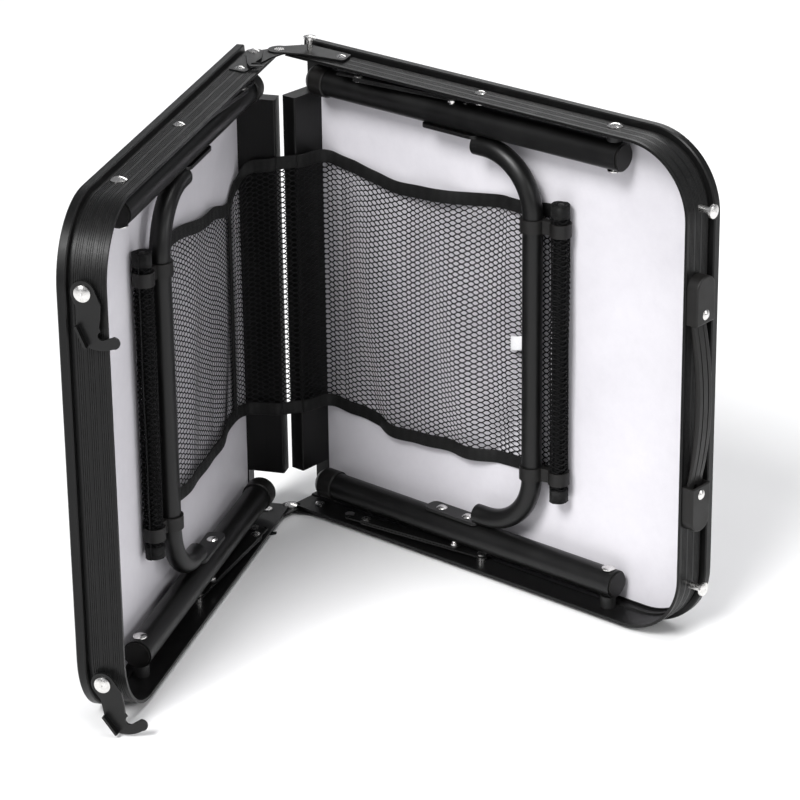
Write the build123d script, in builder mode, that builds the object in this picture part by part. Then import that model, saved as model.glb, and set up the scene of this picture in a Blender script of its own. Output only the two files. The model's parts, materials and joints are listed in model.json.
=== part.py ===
from build123d import *
import os
from math import atan2, cos, degrees, hypot, radians, sin, sqrt

# A camping table that folds in half like a suitcase, standing on its long edges, partly open.
# Two trays (the halves) turn about a vertical axis where their skirt edges meet.
# In each half u runs from the fold axis outward, depth runs from the skirt edge (0) down to
# the table-top face, and z is the height. Everything is drawn for the right half; pieces of the
# left half are mirrored about the fold, and upper pieces are mirrored about mid height.

os.makedirs("parts", exist_ok=True)

# ---- driving dimensions, mm ----
WIDTH = 450.0            # across the table: the height as it stands
LENGTH = 450.0           # of each half, from the fold axis to its outer edge
DEPTH = 40.0             # of each half's frame
OPENING = 65.0           # degrees between the halves
FOLD_Y = 184.732         # the fold axis, with the origin under the middle of the object
CORNER_R = 65.0

# ---- frame extrusion ----
EDGE = 0.4               # the skirt edge stands back from the plane where closed halves meet
RIM_H = 8.0
BAND = 4.5               # the ribbed band lies this far inside the rim
WALL = 1.6
GROOVE_H, GROOVE_IN = 3.5, 6.0
FLANGE_REACH, FLANGE_T = 9.5, 0.8
LEDGE_T = 1.2
BOARD_T = 2.8
FOLD_GAP = 0.8
RIDGE_GROUPS, RIDGES, RIDGE_PITCH, RIDGE_CUT = 3, 4, 1.7, 0.5
CROSS_W, CROSS_FRONT, CROSS_END, CROSS_WALL = 15.0, 0.8, 44.5, 1.6

# ---- legs ----
LEG_U, LEG_DEPTH, LEG_Z = 356.0, 20.0, 29.5
TUBE_R, TUBE_WALL = 12.5, 1.2
LEG_END = 8.5            # tube past its pivot
FOOT_R, FOOT_TIP, FOOT_SEAM, FOOT_DOME = 14.0, 18.0, 42.0, 9.0
PIVOT_R, RUNNING = 3.0, 0.05
BAR_U, BAR_R, BAR_Z, BAR_BEND = 270.0, 9.0, 51.2, 52.0
TONGUE_T = 3.0
BAR_RIVETS_U = (167.0, 197.0)

# ---- folding braces: two links each, straight when the leg stands square to the table ----
BRACE_U, BRACE_DEPTH = 214.0, 19.0
LEG_PIN_BACK, LEG_PIN_UP = 171.0, 4.0
LINK_W, LINK_T = 11.0, 1.6
RAIL_LINK_Z, LEG_LINK_Z = 11.2, 13.2
LINK_TIP = 20.0

# ---- fold hinges and the hooks that lock the table flat ----
LEAF_T, HOOK_T, LAYER_GAP = 1.2, 1.2, 0.1
LEAF_RIVET_U, HINGE_DEPTH = 57.0, 18.0
LOCK_U, LOCK_STUD_U = 16.0, 20.0
LOCK_REST = 18.0         # degrees from the rail's line when folded back

# ---- side latches that hold the halves closed ----
LATCH_T, LATCH_U = 2.0, 448.6
LATCH_DEPTH, LATCH_STUD_Z, LATCH_DROP = 18.0, 55.0, 9.5
LATCH_REST = {"top": -67.0, "bottom": -54.0}

# ---- handle ----
HANDLE_DEPTH, HANDLE_PITCH, HANDLE_LEN = 14.0, 162.0, 229.0
CAP_LEN, CAP_W, CAP_H = 41.5, 25.0, 11.0
POCKET_BASE, POCKET_H = 1.2, 8.2
GRIP_W, GRIP_END_T, GRIP_T, GRIP_RISE, GRIP_GAP = 19.0, 3.0, 5.0, 6.5, 1.6

# ---- net ----
NET_U, NET_DEPTH, NET_T, NET_Z = (24.0, 255.0), 24.0, 3.0, 98.0
ROLL_U, ROLL_DEPTH, ROLL_R, ROLL_Z = 296.0, 25.5, 8.0, 88.0
CLIP_Z, CLIP_H, CLIP_PLAY = 104.0, 12.0, 0.02      # the clips sit on the bar's straight part

MID = WIDTH / 2
OUT = Vector(sin(radians(OPENING / 2)), -cos(radians(OPENING / 2)), 0)
IN = Vector(-cos(radians(OPENING / 2)), -sin(radians(OPENING / 2)), 0)
BOARD_LOW = DEPTH - FLANGE_T - BOARD_T
FOLD_PLANE = Plane.YZ
MIDDLE_PLANE = Plane.XY.offset(MID)


def point(u, depth, z):
    return Vector(0, FOLD_Y, z) + OUT * u - IN * depth


def face_plane(depth):
    """Parallel to the table top: x is u, y is the height above the middle, z is inward."""
    return Plane(point(0, depth, MID), x_dir=OUT, z_dir=IN)


def level_plane(z):
    """Level: x is u, y is depth, for plates and rivets of the side rails."""
    return Plane(point(0, 0, z), x_dir=OUT, z_dir=(0, 0, 1))


def end_plane(u):
    """Across u: x is the height above the middle, y is inward, z is along u."""
    return Plane(point(u, 0, MID), x_dir=(0, 0, 1), z_dir=OUT)


def save(name, made, left=False, top=False):
    """Write one piece, mirrored to the left half and to the upper rail where asked."""
    shape = made.part
    if top:
        shape = mirror(shape, about=MIDDLE_PLANE)
    if left:
        shape = mirror(shape, about=FOLD_PLANE)
    shape.label = name
    export_step(shape, f"parts/{name}.step")


def save_all_four(name, made):
    for side in ("right", "left"):
        for level in ("bottom", "top"):
            save(f"{side}_{name}_{level}", made, left=side == "left", top=level == "top")


def save_group(name, pieces, left=False):
    """Write separate solids that share one node."""
    shapes = [mirror(piece, about=FOLD_PLANE) if left else piece for piece in pieces]
    group = Compound(children=[solid for shape in shapes for solid in shape.solids()])
    group.label = name
    export_step(group, f"parts/{name}.step")


def both_levels(*made):
    """The lower pieces and their mirror images on the upper rail."""
    lower = [one.part for one in made]
    return lower + [mirror(one, about=MIDDLE_PLANE) for one in lower]


def save_pairs(name, *made):
    """Lower and upper pieces of each half as one group."""
    for side in ("right", "left"):
        save_group(f"{side}_{name}", both_levels(*made), left=side == "left")


def turned(base, steps, domes=()):
    """Turned piece along base's normal. steps: start, end, radius. domes: start, radius, rise;
    a negative rise points back along the normal."""
    for start, end, radius in steps:
        with BuildSketch(base.offset(start)) as section:
            Circle(radius)
        extrude(section.sketch, amount=end - start)
    for start, radius, rise in domes:
        sign = 1 if rise > 0 else -1
        at = base.offset(start).origin
        rise = abs(rise)
        sphere_r = (radius ** 2 + rise ** 2) / (2 * rise)
        shoulder = (radius * 0.75, rise - sphere_r + sqrt(sphere_r ** 2 - (radius * 0.75) ** 2))
        profile = Plane(at, x_dir=base.x_dir, z_dir=base.x_dir.cross(base.z_dir * sign))
        with BuildSketch(profile) as head:
            with BuildLine():
                ThreePointArc((radius, 0), shoulder, (0, rise))
                Polyline((0, rise), (0, 0), (radius, 0))
            make_face()
        revolve(head.sketch, axis=Axis(at, base.z_dir))


def rivet_base(u, depth, z=0.0):
    """Foot of a level rivet's axis: normal is up, x is u."""
    return Plane(point(u, depth, z), x_dir=OUT, z_dir=(0, 0, 1))


def end_base(z, depth):
    """Foot of an axis along u, at the fold axis: normal is along u."""
    return Plane(point(0, depth, z), x_dir=(0, 0, 1), z_dir=OUT)


# ---- frame, cross rail and table top ----

def rail_section():
    """Closed outline of the frame extrusion as (inward from the outermost face, depth)."""
    band_low, band_high = EDGE + 1.8, DEPTH - RIM_H - GROOVE_H
    outline = [(1.0, DEPTH), (0, DEPTH - 1.0), (0, DEPTH - RIM_H + 1.0), (1.0, DEPTH - RIM_H)]
    outline += [(GROOVE_IN, DEPTH - RIM_H - 0.4), (GROOVE_IN, band_high), (BAND, band_high)]
    group_step = (band_high - band_low) / RIDGE_GROUPS
    for group in range(RIDGE_GROUPS):
        first = band_high - group_step * (group + 0.5) + RIDGE_PITCH * (RIDGES - 1) / 2
        for ridge in range(RIDGES):
            y = first - ridge * RIDGE_PITCH
            outline += [(BAND, y + 0.4), (BAND + RIDGE_CUT, y + 0.2)]
            outline += [(BAND + RIDGE_CUT, y - 0.2), (BAND, y - 0.4)]
    outline += [(BAND, EDGE), (BAND + 2.6, EDGE), (BAND + 2.6, band_low), (BAND + WALL, band_low)]
    outline += [(BAND + WALL, band_high - 1.5), (GROOVE_IN + WALL, band_high - 0.5)]
    outline += [(GROOVE_IN + WALL, BOARD_LOW - LEDGE_T), (FLANGE_REACH, BOARD_LOW - LEDGE_T)]
    outline += [(FLANGE_REACH, BOARD_LOW), (2.0, BOARD_LOW), (2.0, DEPTH - FLANGE_T)]
    outline += [(FLANGE_REACH, DEPTH - FLANGE_T), (FLANGE_REACH, DEPTH)]
    return outline


def frame_holes(left):
    """Rivet holes in one side rail, as u, depth and radius."""
    lock_u = LOCK_U if left else LOCK_STUD_U
    holes = [(LEG_U, LEG_DEPTH, PIVOT_R), (BRACE_U, BRACE_DEPTH, 2.5)]
    return holes + [(LEAF_RIVET_U, HINGE_DEPTH, 2.5), (lock_u, HINGE_DEPTH, 2.5)]


def end_holes(left):
    """Holes in the outer rail, as height, depth and radius."""
    if left:
        return [(latch_pivot_z(level), LATCH_DEPTH, 5.0) for level in ("bottom", "top")]
    studs = [(z, LATCH_DEPTH, 3.0) for z in (LATCH_STUD_Z, WIDTH - LATCH_STUD_Z)]
    return studs + [(MID + s * HANDLE_PITCH / 2, HANDLE_DEPTH, 2.5) for s in (1, -1)]


def latch_pivot_z(level):
    return (LATCH_STUD_Z if level == "bottom" else WIDTH - LATCH_STUD_Z) - LATCH_DROP


for side_name in ("right", "left"):
    is_left = side_name == "left"
    with BuildPart() as frame:
        with BuildLine(face_plane(DEPTH)) as path:
            lower = Line((FOLD_GAP, -MID), (LENGTH - CORNER_R, -MID))
            turn = RadiusArc(lower @ 1, (LENGTH, CORNER_R - MID), -CORNER_R)
            outer = Line(turn @ 1, (LENGTH, MID - CORNER_R))
            back = RadiusArc(outer @ 1, (LENGTH - CORNER_R, MID), -CORNER_R)
            Line(back @ 1, (FOLD_GAP, MID))
        with BuildSketch(Plane(point(FOLD_GAP, DEPTH, 0), x_dir=(0, 0, 1), z_dir=OUT)):
            with BuildLine():
                Polyline([(w, DEPTH - y) for w, y in rail_section()], close=True)
            make_face()
        sweep(path=path.wires()[0])
        # the skirt stops short of the hinge pins
        for low in (0, WIDTH - 20):
            with BuildSketch(level_plane(low)):
                with Locations((2.5, 2.5)):
                    Rectangle(8, 8)
            extrude(amount=20, mode=Mode.SUBTRACT)
        for low in (0, WIDTH - 12):
            for hole_u, hole_depth, hole_r in frame_holes(is_left):
                with BuildSketch(level_plane(low)):
                    with Locations((hole_u, hole_depth)):
                        Circle(hole_r)
                extrude(amount=12, mode=Mode.SUBTRACT)
        for hole_z, hole_depth, hole_r in end_holes(is_left):
            with BuildSketch(end_plane(LENGTH - 15)):
                with Locations((hole_z - MID, -hole_depth)):
                    Circle(hole_r)
            extrude(amount=16, mode=Mode.SUBTRACT)
    save(f"{side_name}_rail_frame", frame, left=is_left)

with BuildPart() as board:
    with BuildSketch(face_plane(DEPTH - FLANGE_T)):
        board_reach, board_half, board_r = LENGTH - 2.2, MID - 2.2, CORNER_R - 2.2
        with BuildLine():
            board_turn = RadiusArc((board_reach - board_r, -board_half), (board_reach, board_r - board_half),
                                   -board_r)
            board_back = RadiusArc((board_reach, board_half - board_r), (board_reach - board_r, board_half),
                                   -board_r)
            Line(board_turn @ 1, board_back @ 0)
            Polyline(board_back @ 1, (FOLD_GAP + 1.8, board_half), (FOLD_GAP + 1.8, -board_half),
                     board_turn @ 0)
        make_face()
    extrude(amount=BOARD_T)

with BuildPart() as cross_rail:
    ledge = BOARD_LOW - LEDGE_T
    with BuildSketch(level_plane(FLANGE_REACH)):
        with BuildLine():
            Polyline(
                (FOLD_GAP, DEPTH), (FOLD_GAP, ledge), (FOLD_GAP + CROSS_W, ledge),
                (FOLD_GAP + CROSS_W, BOARD_LOW), (FOLD_GAP + 1.6, BOARD_LOW),
                (FOLD_GAP + 1.6, DEPTH - FLANGE_T), (FOLD_GAP + FLANGE_REACH, DEPTH - FLANGE_T),
                (FOLD_GAP + FLANGE_REACH, DEPTH), close=True,
            )
        make_face()
    extrude(amount=WIDTH - 2 * FLANGE_REACH)
    # a box between the legs' feet, closed at its ends and open toward the board
    with BuildSketch(level_plane(CROSS_END)):
        with Locations((FOLD_GAP + CROSS_W / 2, (CROSS_FRONT + ledge) / 2)):
            RectangleRounded(CROSS_W, ledge - CROSS_FRONT, 1.5)
        with Locations((FOLD_GAP + CROSS_W / 2, ledge - 1.0)):
            Rectangle(CROSS_W, 2.0)
    extrude(amount=WIDTH - 2 * CROSS_END)
    with BuildSketch(face_plane(BOARD_LOW)):
        with Locations((FOLD_GAP + CROSS_W / 2, 0)):
            Rectangle(CROSS_W - 2 * CROSS_WALL, WIDTH - 2 * (CROSS_END + CROSS_WALL))
    extrude(amount=BOARD_LOW - CROSS_FRONT - CROSS_WALL, mode=Mode.SUBTRACT)

for side_name in ("right", "left"):
    save(f"{side_name}_table_top", board, left=side_name == "left")
    save(f"{side_name}_cross_rail", cross_rail, left=side_name == "left")


# ---- legs: two tubes and a U-shaped bar in each half ----

PIN_U, PIN_DEPTH = LEG_U - LEG_PIN_BACK, LEG_DEPTH - LEG_PIN_UP
TUBE_START = FOOT_TIP + FOOT_DOME + 1.0

with BuildPart() as leg_tube:
    with BuildSketch(end_base(LEG_Z, LEG_DEPTH).offset(TUBE_START)):
        Circle(TUBE_R)
        Circle(TUBE_R - TUBE_WALL, mode=Mode.SUBTRACT)
    extrude(amount=LEG_U + LEG_END - TUBE_START)
    with BuildSketch(level_plane(LEG_Z - TUBE_R - 1)):
        with Locations((LEG_U, LEG_DEPTH)):
            Circle(PIVOT_R + RUNNING)
        with Locations([(rivet_u, LEG_DEPTH) for rivet_u in BAR_RIVETS_U]):
            Circle(2.5)
    extrude(amount=2 * TUBE_R + 2, mode=Mode.SUBTRACT)
    with BuildSketch(level_plane(LEG_Z - TUBE_R - 1)):
        with Locations((PIN_U, PIN_DEPTH)):
            Circle(2.5)
    extrude(amount=TUBE_R, mode=Mode.SUBTRACT)
save_all_four("leg_tube", leg_tube)

# the tube runs inside its foot and stops short of the foot's domed end
with BuildPart() as foot:
    with BuildSketch(face_plane(LEG_DEPTH)):
        with BuildLine():
            dome_at = FOOT_TIP + FOOT_DOME
            axis_y = LEG_Z - MID
            ThreePointArc((FOOT_TIP, axis_y), (FOOT_TIP + 2.6, axis_y + 8.9), (dome_at, axis_y + FOOT_R))
            Polyline((dome_at, axis_y + FOOT_R), (FOOT_SEAM - 1, axis_y + FOOT_R),
                     (FOOT_SEAM, axis_y + FOOT_R - 0.8), (FOOT_SEAM, axis_y + TUBE_R),
                     (TUBE_START, axis_y + TUBE_R), (TUBE_START, axis_y), (FOOT_TIP, axis_y))
        make_face()
    revolve(axis=Axis(point(0, LEG_DEPTH, LEG_Z), OUT))
save_all_four("foot", foot)

with BuildPart() as leg_plug:
    turned(end_base(LEG_Z, LEG_DEPTH), [
        (LEG_U + LEG_END - 6, LEG_U + LEG_END, TUBE_R - TUBE_WALL),
        (LEG_U + LEG_END, LEG_U + LEG_END + 1.5, TUBE_R - 1.5),
    ])
    with BuildSketch(level_plane(LEG_Z - TUBE_R)):
        with Locations((LEG_U, LEG_DEPTH)):
            Circle(PIVOT_R + 0.6)
    extrude(amount=2 * TUBE_R, mode=Mode.SUBTRACT)
save_pairs("leg_plugs", leg_plug)

with BuildPart() as leg_pivot:
    turned(rivet_base(LEG_U, LEG_DEPTH), [
        (BAND - 0.8, BAND, 7.0),
        (BAND, LEG_Z + TUBE_R + 0.2, PIVOT_R),
        (BAND + WALL, LEG_Z - TUBE_R - 0.4, 6.8),
        (LEG_Z + TUBE_R + 0.2, LEG_Z + TUBE_R + 1.0, 6.0),
    ], [(BAND - 0.8, 7.0, -2.4), (LEG_Z + TUBE_R + 1.0, 6.0, 1.6)])
save_pairs("leg_pivots", leg_pivot)

TONGUE_Z = LEG_Z + TUBE_R
BAR_START, TONGUE_END = 208.0, 152.0
with BuildPart() as leg_bar:
    with BuildLine(face_plane(LEG_DEPTH)) as bar_path:
        low_y = BAR_Z - MID
        first_arm = Line((BAR_START, low_y), (BAR_U - BAR_BEND, low_y))
        first_bend = RadiusArc(first_arm @ 1, (BAR_U, low_y + BAR_BEND), -BAR_BEND)
        bar = Line(first_bend @ 1, (BAR_U, -low_y - BAR_BEND))
        second_bend = RadiusArc(bar @ 1, (BAR_U - BAR_BEND, -low_y), -BAR_BEND)
        Line(second_bend @ 1, (BAR_START, -low_y))
    with BuildSketch(end_base(BAR_Z, LEG_DEPTH).offset(BAR_START)):
        Circle(BAR_R)
    sweep(path=bar_path.wires()[0])
    # the ends are pressed flat against the leg tubes
    for tongue_z in (TONGUE_Z, WIDTH - TONGUE_Z - TONGUE_T):
        with BuildSketch(level_plane(tongue_z)):
            with Locations(((BAR_START + 4 + TONGUE_END) / 2, LEG_DEPTH)):
                RectangleRounded(BAR_START + 4 - TONGUE_END, 2 * BAR_R - 1, 6)
        extrude(amount=TONGUE_T)
        with BuildSketch(level_plane(tongue_z)):
            with Locations([(rivet_u, LEG_DEPTH) for rivet_u in BAR_RIVETS_U]):
                Circle(2.5)
        extrude(amount=TONGUE_T, mode=Mode.SUBTRACT)
for side_name in ("right", "left"):
    save(f"{side_name}_leg_bar", leg_bar, left=side_name == "left")

# both rivets of each joint between the bar and a leg tube, and the pin of the brace on the tube
with BuildPart() as leg_rivets:
    for rivet_u in BAR_RIVETS_U:
        turned(rivet_base(rivet_u, LEG_DEPTH), [(LEG_Z - TUBE_R, TONGUE_Z + TONGUE_T, 2.5)],
               [(TONGUE_Z + TONGUE_T, 5.0, 2.2)])

with BuildPart() as brace_pin:
    turned(rivet_base(PIN_U, PIN_DEPTH), [
        (LEG_LINK_Z + LINK_T + LAYER_GAP, LEG_Z - TUBE_R - 0.1, 4.2),
        (LEG_Z - TUBE_R - 0.1, LEG_Z - 8.5, 2.5),
    ])
save_pairs("leg_rivets", leg_rivets, brace_pin)


# ---- folding braces ----

SPAN_RAIL_TO_PIN = hypot(BRACE_U - PIN_U, BRACE_DEPTH - PIN_DEPTH)
OUT_U, OUT_DEPTH = LEG_U + LEG_PIN_UP, LEG_DEPTH - LEG_PIN_BACK    # the leg's pin when the leg is up
SPAN_OPEN = hypot(OUT_U - BRACE_U, OUT_DEPTH - BRACE_DEPTH)
RAIL_LINK = (SPAN_OPEN + SPAN_RAIL_TO_PIN) / 2
LEG_LINK = (SPAN_OPEN - SPAN_RAIL_TO_PIN) / 2
FOLD_DIR = ((PIN_U - BRACE_U) / SPAN_RAIL_TO_PIN, (PIN_DEPTH - BRACE_DEPTH) / SPAN_RAIL_TO_PIN)
KNEE_U, KNEE_DEPTH = BRACE_U + RAIL_LINK * FOLD_DIR[0], BRACE_DEPTH + RAIL_LINK * FOLD_DIR[1]
LINK_ANGLE = degrees(atan2(FOLD_DIR[1], FOLD_DIR[0]))


def link_plane(u, depth, z):
    """Level, at a link's pivot, with x along the folded links toward the fold."""
    x_dir = OUT * FOLD_DIR[0] - IN * FOLD_DIR[1]
    return Plane(point(u, depth, z), x_dir=x_dir, z_dir=(0, 0, 1))


with BuildPart() as rail_link:
    with BuildSketch(link_plane(BRACE_U, BRACE_DEPTH, RAIL_LINK_Z)):
        with Locations((RAIL_LINK / 2, 0)):
            SlotCenterToCenter(RAIL_LINK, LINK_W)
        with Locations((RAIL_LINK + LINK_TIP / 2, 0)):
            SlotCenterToCenter(LINK_TIP, 6.0)
        with Locations((0, 0)):
            Circle(2.5 + RUNNING, mode=Mode.SUBTRACT)
        with Locations((RAIL_LINK, 0)):
            Circle(2.5, mode=Mode.SUBTRACT)
        with Locations((RAIL_LINK + LINK_TIP, 0)):
            Circle(1.3, mode=Mode.SUBTRACT)
    extrude(amount=LINK_T)
save_all_four("brace_rail_link", rail_link)

with BuildPart() as leg_link:
    with BuildSketch(link_plane(PIN_U, PIN_DEPTH, LEG_LINK_Z)):
        with Locations((LEG_LINK / 2, 0)):
            SlotCenterToCenter(LEG_LINK, LINK_W)
        with Locations((LEG_LINK, 0)):
            Circle(2.5 + RUNNING, mode=Mode.SUBTRACT)
    extrude(amount=LINK_T)
save_all_four("brace_leg_link", leg_link)

with BuildPart() as brace_rivet:
    turned(rivet_base(BRACE_U, BRACE_DEPTH), [
        (BAND - 0.6, BAND, 5.0),
        (BAND, RAIL_LINK_Z + LINK_T + LAYER_GAP, 2.5),
        (BAND + WALL, RAIL_LINK_Z - LAYER_GAP, 4.5),
        (RAIL_LINK_Z + LINK_T + LAYER_GAP, RAIL_LINK_Z + LINK_T + 1.0, 4.5),
    ], [(BAND - 0.6, 5.0, -2.0)])
save_pairs("brace_rail_rivets", brace_rivet)

with BuildPart() as knee_rivet:
    turned(rivet_base(KNEE_U, KNEE_DEPTH), [
        (RAIL_LINK_Z - 0.8, RAIL_LINK_Z, 4.2),
        (RAIL_LINK_Z, LEG_LINK_Z + LINK_T + LAYER_GAP, 2.5),
        (RAIL_LINK_Z + LINK_T, LEG_LINK_Z - LAYER_GAP, 4.2),
        (LEG_LINK_Z + LINK_T + LAYER_GAP, LEG_LINK_Z + LINK_T + 0.8, 4.2),
    ], [(LEG_LINK_Z + LINK_T + 0.8, 4.2, 1.0)])
save_pairs("brace_knee_rivets", knee_rivet)


# ---- fold hinges: the right leaves lie outside the left ones ----

LEAF_END, LEAF_NOSE = 67.0, 10.0


def leaf(layer):
    """One leaf, layer 0 against the rail and 1 outside it, on the lower rail."""
    top_z = BAND - LAYER_GAP - layer * (LEAF_T + LAYER_GAP)
    lock_u = LOCK_U if layer == 0 else LOCK_STUD_U
    with BuildSketch(level_plane(top_z - LEAF_T)) as outline:
        with BuildLine():
            Polyline((0, -LEAF_NOSE), (12, -4), (24, 1.5), (LEAF_END, 10), (LEAF_END - 6, 27), (12, 27),
                     (-3, 9.5), close=True)
        make_face()
        fillet(outline.vertices().filter_by(lambda v: (v.center() - point(0, 0, 0)).length > 20), 3)
        Circle(LEAF_NOSE)
        Circle(4.5 if layer == 1 else 4.5 + RUNNING, mode=Mode.SUBTRACT)
        with Locations((LEAF_RIVET_U, HINGE_DEPTH), (lock_u, HINGE_DEPTH)):
            Circle(2.5, mode=Mode.SUBTRACT)
    extrude(outline.sketch, amount=LEAF_T)


for side_name in ("right", "left"):
    with BuildPart() as hinge_leaf:
        leaf(1 if side_name == "right" else 0)
    for level_name in ("bottom", "top"):
        save(f"{side_name}_hinge_leaf_{level_name}", hinge_leaf, left=side_name == "left",
             top=level_name == "top")

OUTER_LEAF = BAND - 2 * (LAYER_GAP + LEAF_T)       # height of the right leaf's outer face
INNER_LEAF = BAND - LAYER_GAP - LEAF_T
HOOK_TOP = OUTER_LEAF - LAYER_GAP
HOOK_FACE = HOOK_TOP - HOOK_T

with BuildPart() as fold_pin:
    turned(rivet_base(0, 0), [(OUTER_LEAF, BAND, 4.5), (BAND, BAND + 1.2, 6.0)],
           [(BAND + 1.2, 6.0, 1.5)])
with BuildPart() as left_leaf_rivet:
    turned(rivet_base(LEAF_RIVET_U, HINGE_DEPTH), [
        (INNER_LEAF - 0.3, BAND + WALL, 2.5), (BAND + WALL, BAND + WALL + 1.0, 4.5)],
        [(INNER_LEAF, 4.5, -1.8)])
with BuildPart() as right_leaf_rivet:
    turned(rivet_base(LEAF_RIVET_U, HINGE_DEPTH), [
        (OUTER_LEAF - 0.3, BAND + WALL, 2.5), (BAND + WALL, BAND + WALL + 1.0, 4.5)],
        [(OUTER_LEAF, 4.5, -1.7)])
save_group("fold_pins", both_levels(fold_pin))
save_group("right_leaf_rivets", both_levels(right_leaf_rivet))
save_group("left_leaf_rivets", both_levels(left_leaf_rivet), left=True)

# hooks on the left half that catch studs on the right half when the table lies flat
HOOK_REACH = LOCK_U + LOCK_STUD_U


def hook_plane(z):
    """Level, at the hook's pivot, with x from the pivot to its notch and y on the catching side."""
    x_dir = OUT * cos(radians(LOCK_REST)) + IN * sin(radians(LOCK_REST))
    y_dir = IN * cos(radians(LOCK_REST)) - OUT * sin(radians(LOCK_REST))
    return Plane(point(LOCK_U, HINGE_DEPTH, z), x_dir=x_dir, z_dir=x_dir.cross(y_dir))


with BuildPart() as lock_hook:
    # its normal points down, so it is extruded from its inner face
    with BuildSketch(hook_plane(HOOK_TOP)):
        with BuildLine():
            Polyline((0, 7.5), (20, 6.5), (29, 1.5), (32.5, 1.5), (32.5, 4), (36, 6), (39.5, 4), (39.5, 8.0),
                     (43, 7.5), (44.5, 3), (42.5, -4), (34, -6), (0, -7.5), close=True)
        make_face()
        Circle(7.5)
        with Locations((HOOK_REACH, 0)):
            Circle(2.5 + 0.4, mode=Mode.SUBTRACT)
        with Locations((HOOK_REACH, 4)):
            Rectangle(5.8, 8, mode=Mode.SUBTRACT)
        Circle(2.5 + RUNNING, mode=Mode.SUBTRACT)
    extrude(amount=HOOK_T)
for level_name in ("bottom", "top"):
    save(f"lock_hook_{level_name}", lock_hook, left=True, top=level_name == "top")

# the lower edge rests on the ground, so its hook's rivet and stud have thin flush heads
lock_rivets, lock_studs = [], []
for level_name in ("bottom", "top"):
    is_top = level_name == "top"
    head_z = HOOK_FACE - LAYER_GAP
    with BuildPart() as lock_rivet:
        head = [(head_z - 0.4, head_z, 5.0)]
        turned(rivet_base(LOCK_U, HINGE_DEPTH), [
            (head_z, BAND + WALL, 2.5), (BAND + WALL, BAND + WALL + 1.0, 4.5)] + head,
            [(head_z - 0.4, 5.0, -2.0)] if is_top else [])
    lock_rivets.append(mirror(lock_rivet.part, about=MIDDLE_PLANE) if is_top else lock_rivet.part)
    with BuildPart() as lock_stud:
        if is_top:
            head = [(-9.0, -7.0, 5.5)]
            domes = [(-9.0, 5.5, -1.0)]
            stud_from = -7.0
        else:
            head, domes, stud_from = [(head_z - 0.4, head_z, 5.0)], [], head_z
        turned(rivet_base(LOCK_STUD_U, HINGE_DEPTH), [
            (stud_from, BAND + WALL, 2.5), (BAND + WALL, BAND + WALL + 1.0, 4.5)] + head, domes)
    lock_studs.append(mirror(lock_stud.part, about=MIDDLE_PLANE) if is_top else lock_stud.part)
save_group("lock_hook_rivets", lock_rivets, left=True)
save_group("lock_studs", lock_studs)


# ---- side latches: hooks on the left outer rail that catch studs on the right one ----

LATCH_REACH = hypot(2 * LATCH_DEPTH, LATCH_DROP)


def latch_plane(level):
    """At the hook's pivot, x from the pivot to the notch, y on the catching side; faces inward."""
    rest = radians(LATCH_REST[level])
    x_dir = IN * cos(rest) + Vector(0, 0, 1) * sin(rest)
    y_dir = Vector(0, 0, 1) * cos(rest) - IN * sin(rest)
    return Plane(point(LATCH_U, LATCH_DEPTH, latch_pivot_z(level)), x_dir=x_dir, z_dir=x_dir.cross(y_dir))


latch_pins, latch_studs = [], []
for level_name in ("bottom", "top"):
    at_pivot = latch_plane(level_name)
    with BuildPart() as side_latch:
        with BuildSketch(at_pivot) as latch_face:
            with BuildLine():
                shank = Polyline((0, 10), (14, 9.5), (24, 4.5), (30, 0.5), (41.0, 0), (41.0, 8.5))
                nose = ThreePointArc(shank @ 1, (45.5, 11.5), (50.0, 4.0))
                heel = ThreePointArc(nose @ 1, (47.0, -8.0), (41, -16))
                Polyline(heel @ 1, (22, -16), (10, -10), (0, -10), (0, 10))
            make_face()
            Circle(10)
            with Locations((LATCH_REACH, 0)):
                Circle(3.7, mode=Mode.SUBTRACT)
            with Locations((LATCH_REACH, 5)):
                Rectangle(7.4, 10, mode=Mode.SUBTRACT)
            Circle(3.0 + RUNNING, mode=Mode.SUBTRACT)
        facing = 1 if at_pivot.z_dir.dot(OUT) > 0 else -1
        extrude(latch_face.sketch, amount=LATCH_T * facing)
        with BuildSketch(at_pivot) as finger_tab:
            with Locations((31.5, -15.0)):
                Rectangle(19, 2.0)
        extrude(finger_tab.sketch, amount=(LATCH_T + 6.0) * facing)
    save(f"side_latch_{level_name}", side_latch, left=True)

    inner_u = LENGTH - 7.0 if level_name == "top" else LENGTH - 13.0
    with BuildPart() as latch_pin:
        turned(end_base(latch_pivot_z(level_name), LATCH_DEPTH), [
            (inner_u - 1.5, inner_u, 7.0), (inner_u, LATCH_U - LAYER_GAP, 5.0),
            (LATCH_U - LAYER_GAP, LATCH_U + LATCH_T + LAYER_GAP, 3.0),
            (LATCH_U + LATCH_T + LAYER_GAP, LATCH_U + LATCH_T + 1.2, 6.9)],
            [(LATCH_U + LATCH_T + 1.2, 6.9, 1.6)])
    latch_pins.append(latch_pin.part)

    stud_z = LATCH_STUD_Z if level_name == "bottom" else WIDTH - LATCH_STUD_Z
    inner_u = LENGTH - 8.5
    with BuildPart() as latch_stud:
        turned(end_base(stud_z, LATCH_DEPTH), [
            (inner_u - 1.5, inner_u, 5.0), (inner_u, 458.0, 3.0), (457.0, 459.0, 6.0)],
            [(459.0, 6.0, 1.4)])
    latch_studs.append(latch_stud.part)
save_group("side_latch_pins", latch_pins, left=True)
save_group("latch_studs", latch_studs)


# ---- handle on the right outer rail ----

CAP_U = LENGTH - BAND
CAP_EDGE = HANDLE_LEN / 2

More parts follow.
